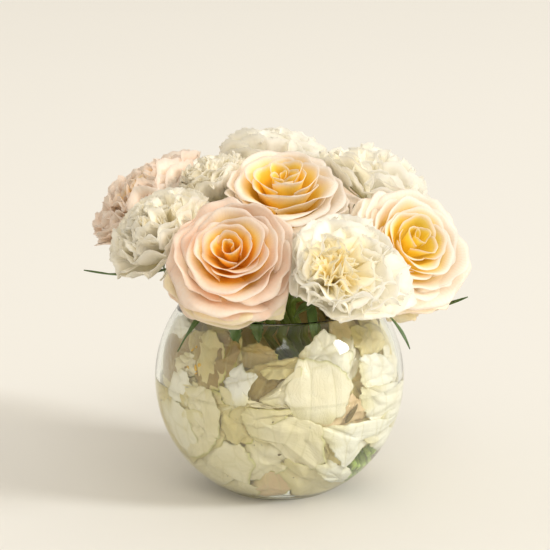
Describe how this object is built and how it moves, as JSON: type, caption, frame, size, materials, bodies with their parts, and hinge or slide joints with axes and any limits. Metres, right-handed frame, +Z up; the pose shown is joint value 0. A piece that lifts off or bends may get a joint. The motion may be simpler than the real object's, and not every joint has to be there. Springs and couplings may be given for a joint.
{
  "type": "flower arrangement in vase",
  "caption": "Round dome of roses and carnations on green stems in a clear glass bubble bowl that is filled with water and loose petals.",
  "frame": {"origin": "middle of the flat underside of the vase's foot", "axes": "+Z up, -Y towards the viewer of the arrangement's front, +X to that viewer's right"},
  "size_m": [0.2305, 0.2241, 0.2175],
  "materials": {
    "clear_glass": "clear polished glass with a faint green cast in its thick foot",
    "water": "clear still water",
    "rose_petal": "satin petals, golden inside, pale peach at the rims",
    "carnation_petal": "matt ruffled white petals",
    "loose_petal": "wet satin cream petals",
    "green_stem": "satin green stems, cups and leaves"
  },
  "bodies": {
    "root": {"vase": "clear_glass", "water": "water", "rose_front": "rose_petal", "rose_front_stem": "green_stem", "rose_top": "rose_petal", "rose_top_stem": "green_stem", "rose_right": "rose_petal", "rose_right_stem": "green_stem", "rose_left": "rose_petal", "rose_left_stem": "green_stem", "rose_back": "rose_petal", "rose_back_stem": "green_stem", "carnation_front": "carnation_petal", "carnation_front_stem": "green_stem", "carnation_left": "carnation_petal", "carnation_left_stem": "green_stem", "carnation_right": "carnation_petal", "carnation_right_stem": "green_stem", "carnation_back": "carnation_petal", "carnation_back_stem": "green_stem", "carnation_crown_back": "carnation_petal", "carnation_crown_back_stem": "green_stem", "carnation_crown_right": "carnation_petal", "carnation_crown_right_stem": "green_stem", "carnation_crown_left": "carnation_petal", "carnation_crown_left_stem": "green_stem", "loose_petal_1_2": "loose_petal", "loose_petal_1_3": "loose_petal", "loose_petal_1_4": "loose_petal", "loose_petal_1_5": "loose_petal", "loose_petal_1_6": "loose_petal", "loose_petal_2_1": "loose_petal", "loose_petal_2_2": "loose_petal", "loose_petal_2_3": "loose_petal", "loose_petal_2_4": "loose_petal", "loose_petal_2_5": "loose_petal", "loose_petal_2_6": "loose_petal", "loose_petal_2_7": "loose_petal", "loose_petal_3_1": "loose_petal", "loose_petal_3_2": "loose_petal", "loose_petal_3_3": "loose_petal", "loose_petal_3_4": "loose_petal", "loose_petal_3_5": "loose_petal", "loose_petal_3_6": "loose_petal", "loose_petal_3_7": "loose_petal"}
  },
  "joints": []
}
